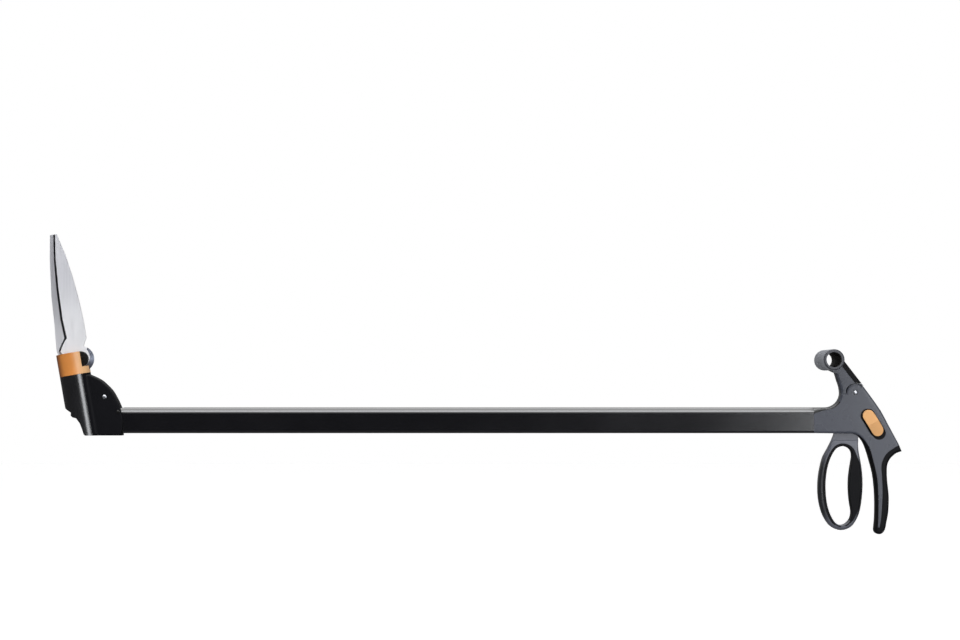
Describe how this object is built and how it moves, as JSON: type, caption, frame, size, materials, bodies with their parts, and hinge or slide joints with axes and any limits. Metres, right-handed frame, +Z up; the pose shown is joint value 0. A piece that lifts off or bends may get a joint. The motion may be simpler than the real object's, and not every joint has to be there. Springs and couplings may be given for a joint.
{
  "type": "long handled edging shears",
  "caption": "Upright shear blades on a swivelling head at the foot of a long rectangular shaft, worked by a hand trigger with a support crossbar.",
  "frame": {"origin": "on the flat underside of the shaft, midway along the tool", "axes": "+X along the shaft towards the handle, +Y across the tool to its right side, +Z up along the blades"},
  "size_m": [1.0637, 0.098, 0.3744],
  "materials": {
    "painted_tube": "satin black paint",
    "head_plastic": "fine satin black",
    "handle_plastic": "fine satin dark grey",
    "soft_rubber": "soft matt black",
    "crossbar_skin": "finely textured grey",
    "orange_plastic": "satin orange",
    "blade_steel": "ground steel",
    "plain_steel": "zinc plated",
    "black_steel": "blackened",
    "pale_nylon": "plain"
  },
  "bodies": {
    "frame": {"shaft_tube": "painted_tube", "rod_guide_1": "pale_nylon", "rod_guide_2": "pale_nylon", "rod_guide_3": "pale_nylon", "spring_seat": "plain_steel", "handle_shell_left": "handle_plastic", "handle_shell_right": "handle_plastic", "grip_pad": "soft_rubber", "trigger_pivot_pin": "plain_steel", "support_arm": "handle_plastic", "arm_insert": "soft_rubber", "crossbar_core": "head_plastic", "crossbar_grip_left": "crossbar_skin", "crossbar_grip_right": "crossbar_skin", "handle_screw_1": "plain_steel", "handle_screw_2": "plain_steel", "handle_screw_3": "plain_steel", "handle_screw_4": "plain_steel", "handle_screw_5": "plain_steel", "shaft_screw": "plain_steel", "head_shell_left": "head_plastic", "head_shell_right": "head_plastic", "head_screw_1": "plain_steel", "head_screw_2": "plain_steel", "head_screw_3": "plain_steel", "tube_pin": "plain_steel", "bellcrank_pin": "plain_steel"},
    "trigger": {"trigger_lever": "handle_plastic", "trigger_pad": "soft_rubber", "trigger_bush": "pale_nylon"},
    "rod": {"pull_rod": "plain_steel", "rear_clevis": "plain_steel", "rear_clevis_pin": "plain_steel", "front_clevis": "plain_steel", "front_clevis_pin": "plain_steel", "spring_collar": "plain_steel", "return_spring": "plain_steel"},
    "bellcrank": {"bellcrank": "plain_steel"},
    "swivel_head": {"blade_carrier": "head_plastic", "detent_ball": "plain_steel", "detent_spring": "plain_steel", "swivel_collar": "orange_plastic", "fixed_blade": "blade_steel", "blade_pivot_screw": "black_steel", "pivot_washer": "plain_steel", "pivot_nut": "plain_steel", "carrier_rivet": "plain_steel"},
    "plunger": {"drive_plunger": "plain_steel"},
    "blade": {"moving_blade": "blade_steel", "drive_pin": "plain_steel"},
    "lock": {"lock_button": "orange_plastic", "lock_bolt": "plain_steel", "lock_screw": "plain_steel"}
  },
  "joints": [
    {"name": "trigger_pivot", "type": "hinge", "parent": "frame", "child": "trigger", "pos_m": [0.46775, 0, 0.0504], "axis": [0, 1, 0], "range_deg": [0, 11.65]},
    {"name": "rod_slide", "type": "slide", "parent": "frame", "child": "rod", "axis": [-1, 0, 0], "range_m": [0, 0.00699], "deforming": ["return_spring"]},
    {"name": "bellcrank_pivot", "type": "hinge", "parent": "frame", "child": "bellcrank", "pos_m": [-0.4675, 0, 0.04525], "axis": [0, 1, 0], "range_deg": [0, 13.72]},
    {"name": "head_swivel", "type": "hinge", "parent": "frame", "child": "swivel_head", "pos_m": [-0.4928, 0, 0], "axis": [-0.1736, 0, 0.9848], "range_deg": [-90, 90]},
    {"name": "plunger_slide", "type": "slide", "parent": "swivel_head", "child": "plunger", "axis": [-0.1736, 0, 0.9848], "range_m": [0, 0.00783]},
    {"name": "blade_pivot", "type": "hinge", "parent": "swivel_head", "child": "blade", "pos_m": [-0.49814, 0, 0.09248], "axis": [0, 1, 0], "range_deg": [0, 30.24]},
    {"name": "lock_slide", "type": "slide", "parent": "frame", "child": "lock", "axis": [0.515, 0, -0.8572], "range_m": [0, 0.004]}
  ],
  "couplings": [
    {"joint": "rod_slide", "follows": "trigger_pivot", "m_per_rad": 0.034341},
    {"joint": "bellcrank_pivot", "follows": "trigger_pivot", "ratio": 1.1768},
    {"joint": "plunger_slide", "follows": "trigger_pivot", "m_per_rad": 0.038477},
    {"joint": "blade_pivot", "follows": "trigger_pivot", "ratio": 2.5951}
  ]
}
